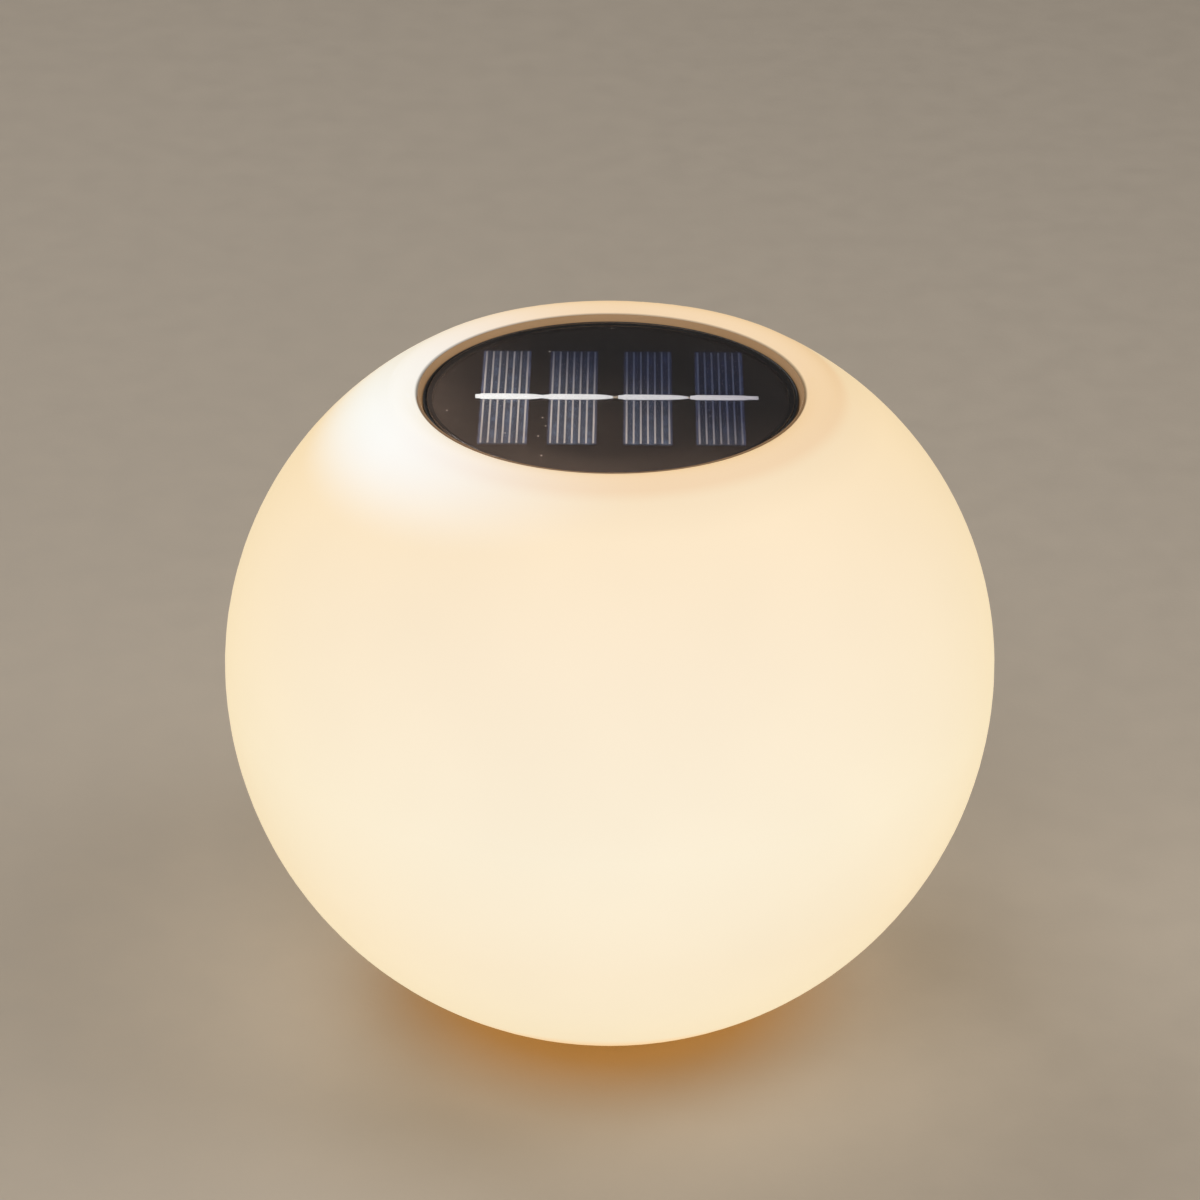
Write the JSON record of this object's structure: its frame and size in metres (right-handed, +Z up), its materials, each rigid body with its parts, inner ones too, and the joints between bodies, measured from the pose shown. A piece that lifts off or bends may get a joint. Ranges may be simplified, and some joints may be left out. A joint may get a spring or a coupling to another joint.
{
  "type": "solar globe light",
  "caption": "White translucent globe light with a solar module locked into its mouth, on a small footed base with a socket for a ground spike.",
  "frame": {"origin": "middle of the ring of feet, on the plane that they stand on", "axes": "+Z up; -Y towards the picture's camera; the solar cells stand in a row along X"},
  "size_m": [0.2, 0.2, 0.1756],
  "materials": {
    "globe_polyethylene": "satin translucent moulding, lit warm from inside",
    "collar_abs": "satin moulding",
    "base_abs": "satin moulding",
    "seal_rubber": "matt silicone",
    "foot_rubber": "matt",
    "zinc_steel": "zinc plated",
    "housing_abs": "black moulding",
    "panel_board": "black board",
    "silicon_cell": "blue-black with printed silver fingers",
    "tinned_ribbon": "tinned",
    "window_resin": "clear, glossy",
    "cover_abs": "satin moulding",
    "led_board": "white solder mask",
    "led_package": "phosphor resin in a white package",
    "driver_board": "solder mask",
    "chip_epoxy": "matt epoxy",
    "choke_lacquer": "lacquered",
    "switch_steel": "plated",
    "switch_nylon": "matt moulding",
    "battery_can": "plain shrink sleeve",
    "contact_steel": "nickel plated",
    "lead_insulation": "soft PVC"
  },
  "bodies": {
    "globe": {"globe_shell": "globe_polyethylene", "neck_collar": "collar_abs", "base_plate": "base_abs", "base_seal": "seal_rubber", "base_clamp_ring": "base_abs", "base_screws": "zinc_steel", "foot_pad_1": "foot_rubber", "foot_pad_2": "foot_rubber", "foot_pad_3": "foot_rubber", "foot_pad_4": "foot_rubber"},
    "gasket": {"module_gasket": "seal_rubber"},
    "solar_module": {"module_housing": "housing_abs", "panel_board": "panel_board", "solar_cell_1": "silicon_cell", "solar_cell_2": "silicon_cell", "solar_cell_3": "silicon_cell", "solar_cell_4": "silicon_cell", "tab_ribbon_1": "tinned_ribbon", "tab_ribbon_2": "tinned_ribbon", "tab_ribbon_3": "tinned_ribbon", "tab_ribbon_4": "tinned_ribbon", "panel_window": "window_resin", "module_cover": "cover_abs", "cover_screws": "zinc_steel", "led_board": "led_board", "led_1": "led_package", "led_2": "led_package", "led_3": "led_package", "led_4": "led_package", "led_board_screws": "zinc_steel", "driver_board": "driver_board", "driver_board_screws": "zinc_steel", "driver_chip": "chip_epoxy", "choke": "choke_lacquer", "switch_body": "switch_steel", "battery": "battery_can", "battery_contact_positive": "contact_steel", "battery_contact_negative": "contact_steel", "door_hinge_pin": "zinc_steel", "panel_leads": "lead_insulation", "led_leads": "lead_insulation", "battery_leads": "lead_insulation"},
    "switch": {"switch_slider": "switch_nylon"},
    "door": {"battery_door": "cover_abs"}
  },
  "joints": [
    {"name": "module_lift", "type": "slide", "parent": "globe", "child": "gasket", "axis": [0, 0, 1], "range_m": [0, 0.00801]},
    {"name": "module_turn", "type": "hinge", "parent": "gasket", "child": "solar_module", "pos_m": [0, 0, 0.16781], "axis": [0, 0, 1], "range_deg": [0, 90]},
    {"name": "power_switch", "type": "slide", "parent": "solar_module", "child": "switch", "axis": [0, 1, 0], "range_m": [0, 0.0035]},
    {"name": "battery_door", "type": "hinge", "parent": "solar_module", "child": "door", "pos_m": [0, 0.03037, 0.14231], "axis": [1, 0, 0], "range_deg": [0, 95]}
  ],
  "couplings": [
    {"joint": "module_lift", "follows": "module_turn", "m_per_rad": 0.005093}
  ]
}
